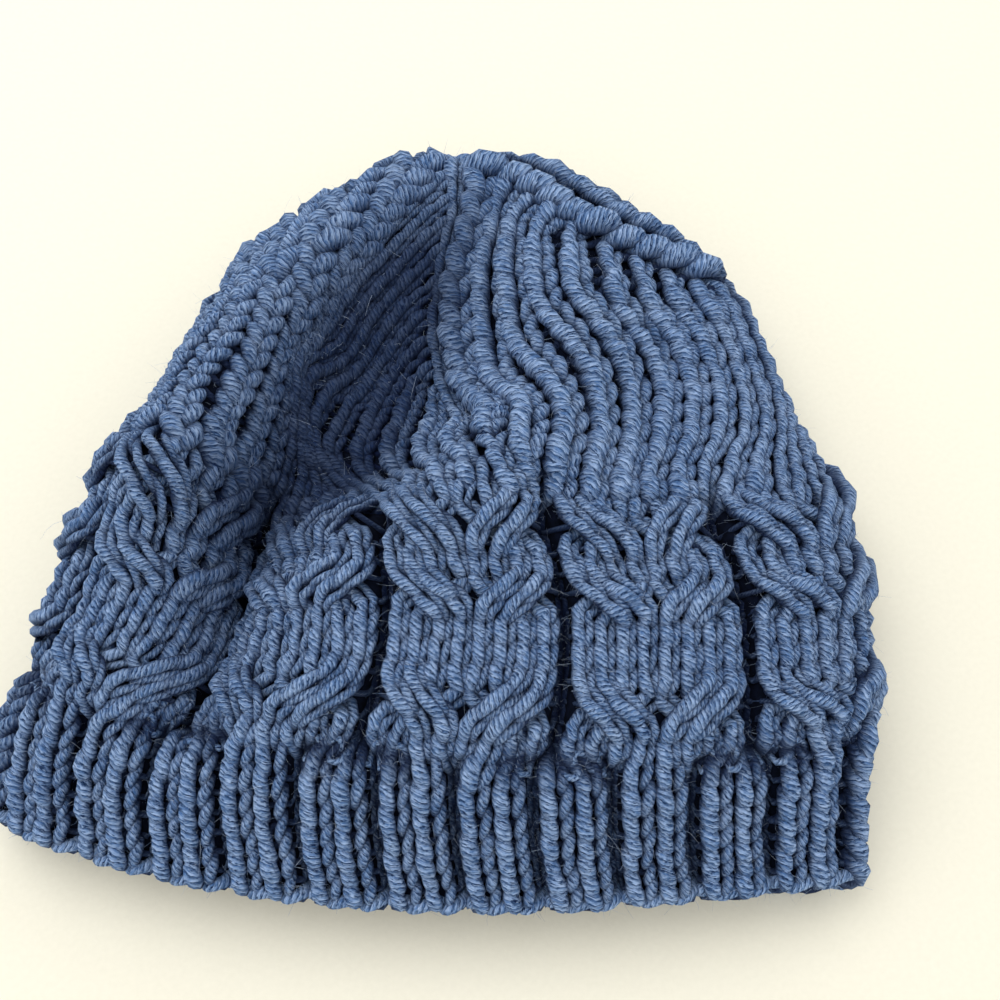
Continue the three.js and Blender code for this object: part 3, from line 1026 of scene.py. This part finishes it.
def backing_cloth(name, first, last, close):
    rows = np.arange(first, last + 1e-6, 1 / CLOTH_ROW_STEPS)
    stitch = np.arange(CLOTH_ROUND) / CLOTH_ROUND * STITCHES
    row_grid, stitch_grid = np.meshgrid(rows, stitch, indexing="ij")
    share = spread_stitch(stitch_grid, row_grid) / STITCHES
    normal = unit(look_up(grid_normals, row_grid, share))
    out = relief(stitch_grid, row_grid) - CLOTH_IN
    points = look_up(grid_points, row_grid, share) + normal * (out * MM)[..., None]
    points[..., 2] = np.maximum(points[..., 2], 3 * FLOOR_CLEAR)
    i = np.repeat(np.arange(len(rows) - 1) * CLOTH_ROUND, CLOTH_ROUND)
    k = np.tile(np.arange(CLOTH_ROUND), len(rows) - 1)
    m = (k + 1) % CLOTH_ROUND
    faces = np.stack([i + k, i + m, i + CLOTH_ROUND + m, i + CLOTH_ROUND + k], 1)
    corners = points.reshape(-1, 3)
    if close:
        ring = (len(rows) - 1) * CLOTH_ROUND
        top = np.arange(CLOTH_ROUND)
        lid = np.stack([ring + top, ring + (top + 1) % CLOTH_ROUND,
                        np.full(CLOTH_ROUND, len(corners))], 1)
        corners = np.concatenate([corners, points[-1].mean(0)[None]])
        return build_mesh(name, corners, faces, lid=lid)
    return build_mesh(name, corners, faces)


cloths = {
    "rib_brim": backing_cloth("rib_cloth", 0.0, 7.0, False),
    "cable_band": backing_cloth("cable_cloth", 7.0, 19.0, False),
    "crown": backing_cloth("crown_cloth", 19.0, 40.0, True),
}

# %% [markdown]
# ## Fuzz
#
# Worsted yarn is hairy. Thousands of fine fibres stand off it and soften every edge. A
# hair system could grow them, but only a mesh comes through every export. So each fibre is
# a thin ribbon of three faces that starts on the yarn and bends as it leaves. A real fibre
# is 0.02 mm thick; ours are drawn coarser, as fewer of them have to do.

# %% Loose fibres
FIBRES = 55000
FIBRE_WIDTH = 0.055                        # millimetres
FIBRE_STEPS = 3                            # faces along each fibre
FIBRE_LENGTH = 2.4, 0.42                   # a gamma spread: mean 1 mm, a few of 3 mm
FIBRE_SPRAY, FIBRE_BEND = 0.9, 0.8         # how far off upright they start, and then bend
FIBRE_TAPER = 0.6                          # how much thinner they end


def loose_fibres(name, sources, count):
    """Thin bent ribbons that start at random corners of the yarn meshes."""
    starts, normals = [], []
    for piece in sources:
        mesh = piece.data
        for found, values, key in ((starts, mesh.vertices, "co"),
                                   (normals, mesh.vertex_normals, "vector")):
            flat = np.empty(len(values) * 3)
            values.foreach_get(key, flat)
            found.append(flat.reshape(-1, 3))
    starts, normals = np.concatenate(starts), np.concatenate(normals)
    pick = rng.integers(0, len(starts), count)
    start, out = starts[pick], normals[pick]
    spray = unit(rng.normal(0, 1, (count, 3)))
    length = rng.gamma(*FIBRE_LENGTH, count)[:, None] * MM
    first = unit(out + FIBRE_SPRAY * spray)
    bend = rng.normal(0, FIBRE_BEND, (count, 3))
    side = unit(np.cross(first, rng.normal(0, 1, (count, 3))))
    edges = []
    for step in range(FIBRE_STEPS + 1):
        t = step / FIBRE_STEPS
        middle = start + (first * t + bend * t * t * 0.5) * length
        half = FIBRE_WIDTH * MM / 2 * (1 - FIBRE_TAPER * t)
        edges += [middle - side * half, middle + side * half]
    points = np.stack(edges, 1).reshape(-1, 3)
    points[..., 2] = np.maximum(points[..., 2], FLOOR_CLEAR)
    base = np.arange(count)[:, None] * 2 * (FIBRE_STEPS + 1)
    faces = np.concatenate([base + np.array([[0, 1, 3, 2]]) + 2 * s
                            for s in range(FIBRE_STEPS)])
    return build_mesh(name, points, faces)


fuzz = {
    "rib_brim": loose_fibres("rib_fuzz", [knitted["rib_stitches"], edge], FIBRES // 5),
    "cable_band": loose_fibres("cable_fuzz", [knitted["cable_stitches_low"],
                               knitted["cable_stitches_high"]], 2 * FIBRES // 5),
    "crown": loose_fibres("crown_fuzz", [knitted[n] for n, _, node in PIECES
                          if node == "crown"] + [tip], 2 * FIBRES // 5),
}

# %% [markdown]
# ## Materials
#
# Colours are easiest to choose as hex codes, the way a paint program shows them. Blender's
# shaders want linear light, so one function converts them.

# %% Colours
def linear(hex_code):
    """An sRGB hex colour as the linear RGBA that shaders use."""
    channels = [int(hex_code[i:i + 2], 16) / 255 for i in (1, 3, 5)]
    return [c / 12.92 if c <= 0.04045 else ((c + 0.055) / 1.055) ** 2.4
            for c in channels] + [1.0]


print("middle grey in linear light:", round(linear("#808080")[0], 3))

# %% [markdown]
# A material is a small network of nodes. This helper adds one node, sets it up, and joins
# it to the ones before: an input given as a socket becomes a link, and anything else
# becomes its value.

# %% Two helpers for node networks
def add_node(tree, kind, inputs=None, **settings):
    """Adds one node, sets its properties, then its input values or links."""
    node = tree.nodes.new(kind)
    for key, value in settings.items():
        setattr(node, key, value)
    for key, value in (inputs or {}).items():
        if isinstance(value, bpy.types.NodeSocket):
            tree.links.new(value, node.inputs[key])
        else:
            node.inputs[key].default_value = value
    return node


def new_material(name):
    material = bpy.data.materials.new(name)
    material.use_nodes = True
    material.node_tree.nodes.clear()
    return material, material.node_tree

# %% [markdown]
# ### Worsted wool yarn
#
# Worsted yarn is combed wool, spun smooth, with its plies twisted together and then dyed.
# To the eye that gives slanting grooves a little under a millimetre apart, darker than the
# crests, with fine streaks along each ply. The grooves follow the yarn, so they come from
# its texture coordinates: a sine of `u` plus a few times `v` makes ridges that spiral. A
# noise in the same slanting frame gives the streaks, and shakes the ridges out of line.

# %% The plies of the yarn
PLIES = 4
GROOVE = 0.84                              # millimetres along the yarn from ply to ply
STREAKS = 5.0, 6.0                         # fibre streaks, in each ply and round the yarn
SHAKE = 2.6                                # how far streaks push the grooves, in plies
GROOVE_EDGES = 0.05, 0.65                  # the sine where a groove ends and a crest starts


def twisted_plies(tree):
    """Sockets: grooves and crests as 0 to 1, and the streaks of the fibres."""
    coords = add_node(tree, "ShaderNodeUVMap", uv_map="yarn")
    split = add_node(tree, "ShaderNodeSeparateXYZ", {"Vector": coords.outputs["UV"]})
    round_part = add_node(tree, "ShaderNodeMath", {0: split.outputs["Y"], 1: PLIES},
                          operation="MULTIPLY")
    ply = add_node(tree, "ShaderNodeMath", {0: split.outputs["X"], 1: 1 / GROOVE,
                                            2: round_part.outputs[0]}, operation="MULTIPLY_ADD")
    place = add_node(tree, "ShaderNodeCombineXYZ", {"X": ply.outputs[0],
                                                    "Y": split.outputs["Y"]})
    scaled = add_node(tree, "ShaderNodeMapping",
                      {"Vector": place.outputs[0], "Scale": (*STREAKS, 1.0)})
    fibres = add_node(tree, "ShaderNodeTexNoise",
                      {"Vector": scaled.outputs[0], "Scale": 1.0, "Detail": 3.0,
                       "Roughness": 0.6})
    shaken = add_node(tree, "ShaderNodeMath", {0: fibres.outputs["Fac"], 1: SHAKE,
                                               2: ply.outputs[0]}, operation="MULTIPLY_ADD")
    angle = add_node(tree, "ShaderNodeMath", {0: shaken.outputs[0], 1: math.pi},
                     operation="MULTIPLY")
    wave = add_node(tree, "ShaderNodeMath", {0: angle.outputs[0]}, operation="SINE")
    crest = add_node(tree, "ShaderNodeMath", {0: wave.outputs[0]}, operation="ABSOLUTE")
    groove = add_node(tree, "ShaderNodeMapRange",
                      {"Value": crest.outputs[0], "From Min": GROOVE_EDGES[0],
                       "From Max": GROOVE_EDGES[1], "To Min": 0.0, "To Max": 1.0})
    return groove.outputs[0], fibres.outputs["Fac"]

# %% [markdown]
# Handling felts the yarn: loose wool lies over the grooves and hides them in places. A
# fluffy noise in object space does that, and also mottles the colour. A larger noise gives
# the soft patches that dye leaves. All of them add up to one number, and a colour ramp
# turns it into blues, from the painted shade of a groove to the pale of a crest, which is
# partly its fibres' own tone and partly painted highlight.

# %% The colour of the wool
# dark: painted shade in the grooves; mid: the wool's blue; pale: crest streaks, partly their own
# tone and partly painted highlight
YARN_COLORS = ((0.36, "#0F2453"), (0.54, "#4F76AE"), (0.72, "#A3BDE5"))
FLUFF, DYE_PATCHES = 620.0, 160.0          # cells a metre: tufts of 1.6 mm, patches of 6 mm
FLUFF_SHARE, PATCH_SHARE = 0.60, 0.30      # how much each adds to the streaks' 1
OPEN_FROM, OPEN_TO = (0.42, 0.62), (0.04, 0.74)          # fluff, and how open grooves are
SHADE_SPREAD, SHADE_SHIFT = 1.55, 0.03     # bring the sum back to the ramp's 0 to 1


def felted_color_with_painted_light(tree, groove, streaks):
    """Socket of the wool's colour from the sockets of its grooves and streaks, with painted
    shade in the grooves.
    """
    place = add_node(tree, "ShaderNodeTexCoord")
    patches = add_node(tree, "ShaderNodeTexNoise",
                       {"Vector": place.outputs["Object"], "Scale": DYE_PATCHES,
                        "Detail": 2.0})
    fluff = add_node(tree, "ShaderNodeTexNoise",
                     {"Vector": place.outputs["Object"], "Scale": FLUFF, "Detail": 6.0,
                      "Roughness": 0.85})
    openness = add_node(tree, "ShaderNodeMapRange",
                        {"Value": fluff.outputs["Fac"],
                         "From Min": OPEN_FROM[0], "From Max": OPEN_FROM[1],
                         "To Min": OPEN_TO[0], "To Max": OPEN_TO[1]})
    mottle = add_node(tree, "ShaderNodeMath",
                      {0: fluff.outputs["Fac"], 1: FLUFF_SHARE, 2: streaks},
                      operation="MULTIPLY_ADD")
    # grooves darken the colour as painted shade, less where fluff covers them
    depth = add_node(tree, "ShaderNodeMath", {0: groove, 1: 1.0}, operation="SUBTRACT")
    streaks_and_groove_shade = add_node(tree, "ShaderNodeMath",
                     {0: depth.outputs[0], 1: openness.outputs[0], 2: mottle.outputs[0]},
                     operation="MULTIPLY_ADD")
    dye_and_groove_shade = add_node(tree, "ShaderNodeMath",
                    {0: patches.outputs["Fac"], 1: PATCH_SHARE, 2: streaks_and_groove_shade.outputs[0]},
                    operation="MULTIPLY_ADD")
    shade = add_node(tree, "ShaderNodeMath",
                     {0: dye_and_groove_shade.outputs[0], 1: 1 / SHADE_SPREAD, 2: SHADE_SHIFT},
                     operation="MULTIPLY_ADD")
    ramp = add_node(tree, "ShaderNodeValToRGB", {"Fac": shade.outputs[0]})
    stops = ramp.color_ramp.elements
    stops[0].position, stops[1].position = YARN_COLORS[0][0], YARN_COLORS[2][0]
    stops.new(YARN_COLORS[1][0])
    for stop, (_, color) in zip(stops, YARN_COLORS):
        stop.color = linear(color)
    return ramp.outputs["Color"]

# %% [markdown]
# The painted shade that we stored on the yarn's corners now mixes this colour with a blue
# that is nearly black. Wool has a soft surface, so it is rough and has hardly any gloss; a
# little sheen stands for the finest hairs, which catch light at the rim. The bump gives the
# grooves their depth.

# %% The yarn's surface
YARN_SHADED, YARN_SHEEN = "#08153C", "#8FA9D6"           # painted shade in a fold or gap, and the sheen's tint at the rim
GROOVE_HEIGHT = 0.8                        # of a groove in the bump, beside the streaks' 1
BUMP_DEPTH = 0.35                          # millimetres


def worsted_yarn(name):
    material, tree = new_material(name)
    groove, streaks = twisted_plies(tree)
    # the painted shade stored on the yarn's corners
    fold = add_node(tree, "ShaderNodeAttribute", attribute_name="fold")
    color = add_node(tree, "ShaderNodeMixRGB",
                     {"Fac": fold.outputs["Fac"],
                      "Color1": felted_color_with_painted_light(tree, groove, streaks),
                      "Color2": linear(YARN_SHADED)})
    height = add_node(tree, "ShaderNodeMath", {0: groove, 1: GROOVE_HEIGHT, 2: streaks},
                      operation="MULTIPLY_ADD")
    bump = add_node(tree, "ShaderNodeBump", {"Height": height.outputs[0], "Strength": 0.9,
                                             "Distance": BUMP_DEPTH * MM})
    shader = add_node(tree, "ShaderNodeBsdfPrincipled",
                      {"Base Color": color.outputs["Color"], "Roughness": 0.9,
                       "Sheen Weight": 0.08, "Sheen Roughness": 0.5,
                       "Sheen Tint": linear(YARN_SHEEN), "Specular IOR Level": 0.08,
                       "Normal": bump.outputs["Normal"]})
    add_node(tree, "ShaderNodeOutputMaterial", {"Surface": shader.outputs["BSDF"]})
    return material


yarn = worsted_yarn("worsted_wool_denim_blue")
print("made", yarn.name, "with", len(yarn.node_tree.nodes), "nodes")

# %% [markdown]
# ### Plain wool
#
# The cloth between the loops and the single fibres are too small to show any twist. Matt
# wool with a fine mottle will do for both: nearly black on the cloth, as painted shade
# between the loops, and pale for loose fibres, which light shines through.

# %% Shaded wool between the loops, and loose wool fibre
def plain_wool(name, low, high, scale):
    """Matt wool whose mottle goes from one colour to another, with `scale` cells a metre."""
    material, tree = new_material(name)
    place = add_node(tree, "ShaderNodeTexCoord")
    mottle = add_node(tree, "ShaderNodeTexNoise",
                      {"Vector": place.outputs["Object"], "Scale": scale, "Detail": 2.0})
    ramp = add_node(tree, "ShaderNodeValToRGB", {"Fac": mottle.outputs["Fac"]})
    ramp.color_ramp.elements[0].position = 0.35
    ramp.color_ramp.elements[0].color = linear(low)
    ramp.color_ramp.elements[1].position = 0.65
    ramp.color_ramp.elements[1].color = linear(high)
    shader = add_node(tree, "ShaderNodeBsdfPrincipled",
                      {"Base Color": ramp.outputs["Color"], "Roughness": 1.0,
                       "Specular IOR Level": 0.1})
    add_node(tree, "ShaderNodeOutputMaterial", {"Surface": shader.outputs["BSDF"]})
    return material


# near black: painted shade on the cloth between the loops
shade_cloth_wool = plain_wool("painted_shade_wool_dark_blue", "#050A17", "#0A1124", 900.0)
loose_wool = plain_wool("loose_wool_fibre_blue", "#6C85AC", "#B9C8DE", 700.0)

for piece in [*knitted.values(), edge, tip]:
    piece.data.materials.append(yarn)
for piece in cloths.values():
    piece.data.materials.append(shade_cloth_wool)
for piece in fuzz.values():
    piece.data.materials.append(loose_wool)
print("mottles of 1.1 and 1.4 mm:", shade_cloth_wool.name, "and", loose_wool.name)

# %% [markdown]
# ## Tell the frame what each piece is
#
# Every piece rides on the hat's one body and stands for one of its solid zones.

# %% Ride and replace
for name, _, node in PIECES:
    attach(knitted[name], "root")
    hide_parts(node)
for piece, node in [(edge, "rib_brim"), (tip, "crown")]:
    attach(piece, "root")
    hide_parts(node)
for group in (cloths, fuzz):
    for node, piece in group.items():
        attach(piece, "root")
        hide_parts(node)
print("rib, band and crown each have stitches, a cloth and fuzz")

# %% [markdown]
# ## The stage
#
# The hat lies on a pale cotton sheet. Cotton is matt and very finely woven. A thread is
# thinner than we can show, so the weave is drawn as a mottle of about a millimetre.

# %% Floor
FLOOR_SIZE = 3.0                           # metres
WEAVE = 900.0                              # cells a metre
WEAVE_DEPTH = 0.2                          # millimetres


def cotton_sheet(name):
    material, tree = new_material(name)
    place = add_node(tree, "ShaderNodeTexCoord")
    weave = add_node(tree, "ShaderNodeTexNoise",
                     {"Vector": place.outputs["Object"], "Scale": WEAVE, "Detail": 3.0})
    ramp = add_node(tree, "ShaderNodeValToRGB", {"Fac": weave.outputs["Fac"]})
    ramp.color_ramp.elements[0].color = linear("#F1EEDF")
    ramp.color_ramp.elements[1].color = linear("#F9F6E7")
    bump = add_node(tree, "ShaderNodeBump", {"Height": weave.outputs["Fac"],
                                             "Strength": 0.15, "Distance": WEAVE_DEPTH * MM})
    shader = add_node(tree, "ShaderNodeBsdfPrincipled",
                      {"Base Color": ramp.outputs["Color"], "Roughness": 0.95,
                       "Specular IOR Level": 0.1, "Normal": bump.outputs["Normal"]})
    add_node(tree, "ShaderNodeOutputMaterial", {"Surface": shader.outputs["BSDF"]})
    return material


half = FLOOR_SIZE / 2
floor_mesh = bpy.data.meshes.new("floor")
floor_mesh.from_pydata([(-half, -half, 0), (half, -half, 0), (half, half, 0),
                        (-half, half, 0)], [], [(0, 1, 2, 3)])
floor = bpy.data.objects.new("floor", floor_mesh)
bpy.context.collection.objects.link(floor)
floor_mesh.materials.append(cotton_sheet("pale_cotton_sheet"))
print("floor of", FLOOR_SIZE, "by", FLOOR_SIZE, "metres")

# %% [markdown]
# A bright, even sky lights the hat from all sides, as in a pale room. One broad, soft lamp
# from the upper left stands for the window: it models the ridges with gentle shadows on
# their right.

# %% Lights
SKY_STRENGTH = 0.93
WINDOW_PLACE, WINDOW_AIM = Vector((-0.28, 0.30, 0.90)), Vector((0, 0, 0.02))
WINDOW_SIZE, WINDOW_WATTS = 0.80, 3.4      # metres across, watts
scene = bpy.context.scene
world = bpy.data.worlds.new("soft_sky")
scene.world = world
world.use_nodes = True
sky = world.node_tree.nodes["Background"]
sky.inputs["Color"].default_value = linear("#FFFDF8")
sky.inputs["Strength"].default_value = SKY_STRENGTH
window_data = bpy.data.lights.new("window", "AREA")
window_data.shape = "DISK"
window_data.size = WINDOW_SIZE
window_data.energy = WINDOW_WATTS
window = bpy.data.objects.new("window", window_data)
window.location = WINDOW_PLACE
window.rotation_euler = (WINDOW_AIM - WINDOW_PLACE).to_track_quat("-Z", "Y").to_euler()
bpy.context.collection.objects.link(window)
print("lights:", world.name, "and", window.name)

# %% [markdown]
# The camera looks down steeply from the front, as near as a phone held over a table, so
# what is close looks a little larger. We give the focal length as a share of the sensor's
# width, because only that ratio fixes the angle of view.

# %% Camera
ELEVATION = math.radians(66)
DISTANCE = 0.210                           # metres from the middle of the hat
TARGET = Vector((0.008, 0.0, 0.024)) + Vector(CENTRE.tolist()) * MM
SENSOR = 36                                # millimetres
FOCAL_SHARE = 1.10                         # focal length over sensor width
camera_data = bpy.data.cameras.new("camera")
camera_data.sensor_width = SENSOR
camera_data.lens = FOCAL_SHARE * SENSOR
camera_data.clip_start = 0.01
camera_data.clip_end = 20
camera = bpy.data.objects.new("camera", camera_data)
camera.location = TARGET + DISTANCE * Vector((0, -math.cos(ELEVATION), math.sin(ELEVATION)))
camera.rotation_euler = (math.pi / 2 - ELEVATION, 0, 0)
bpy.context.collection.objects.link(camera)
scene.camera = camera
scene.view_settings.view_transform = "Standard"
scene.view_settings.look = "None"
scene.view_settings.exposure = 0.0
scene.view_settings.gamma = 1.0
print("camera", DISTANCE, "m away, lens", round(camera_data.lens, 1), "mm")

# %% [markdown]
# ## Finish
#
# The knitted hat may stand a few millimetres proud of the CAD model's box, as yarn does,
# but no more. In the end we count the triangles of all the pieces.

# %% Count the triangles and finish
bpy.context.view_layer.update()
pieces = [*knitted.values(), edge, tip, *cloths.values(), *fuzz.values()]
triangles = sum(len(p.data.loops) - 2 * len(p.data.polygons) for p in pieces)
print(triangles, "triangles in all")
